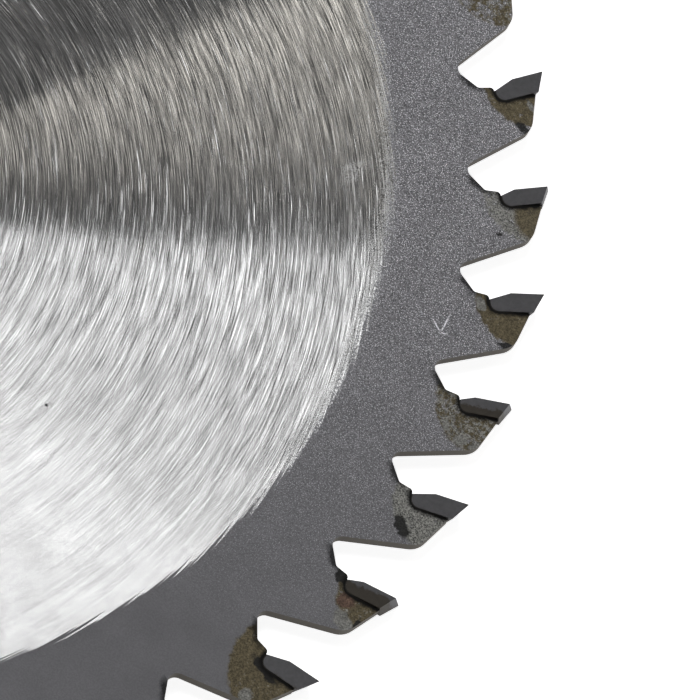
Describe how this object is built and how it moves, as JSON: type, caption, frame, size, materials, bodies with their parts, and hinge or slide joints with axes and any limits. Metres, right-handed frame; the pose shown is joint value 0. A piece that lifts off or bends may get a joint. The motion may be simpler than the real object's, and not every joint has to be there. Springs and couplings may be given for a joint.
{
  "type": "tct circular saw blade",
  "caption": "Thin steel disc saw blade with brazed carbide teeth, hooked gullets and a plain round arbor bore, for a hand-held circular saw.",
  "frame": {"origin": "centre of the arbor bore, at mid-thickness of the plate", "axes": "+Z along the arbor bore, square to the plate; +X through the first tooth's cutting edge"},
  "size_m": [0.19, 0.19, 0.002],
  "materials": {
    "plate_steel": "ground disc inside a blasted outer ring",
    "carbide": "ground tungsten carbide, satin charcoal",
    "braze": "tarnished braze with burnt flux"
  },
  "bodies": {
    "root": {"plate": "plate_steel", "braze": "braze", "tip_01": "carbide", "tip_02": "carbide", "tip_03": "carbide", "tip_04": "carbide", "tip_05": "carbide", "tip_06": "carbide", "tip_07": "carbide", "tip_08": "carbide", "tip_09": "carbide", "tip_10": "carbide", "tip_11": "carbide", "tip_12": "carbide", "tip_13": "carbide", "tip_14": "carbide", "tip_15": "carbide", "tip_16": "carbide", "tip_17": "carbide", "tip_18": "carbide", "tip_19": "carbide", "tip_20": "carbide", "tip_21": "carbide", "tip_22": "carbide", "tip_23": "carbide", "tip_24": "carbide", "tip_25": "carbide", "tip_26": "carbide", "tip_27": "carbide", "tip_28": "carbide", "tip_29": "carbide", "tip_30": "carbide", "tip_31": "carbide", "tip_32": "carbide", "tip_33": "carbide", "tip_34": "carbide", "tip_35": "carbide", "tip_36": "carbide", "tip_37": "carbide", "tip_38": "carbide", "tip_39": "carbide", "tip_40": "carbide"}
  },
  "joints": []
}
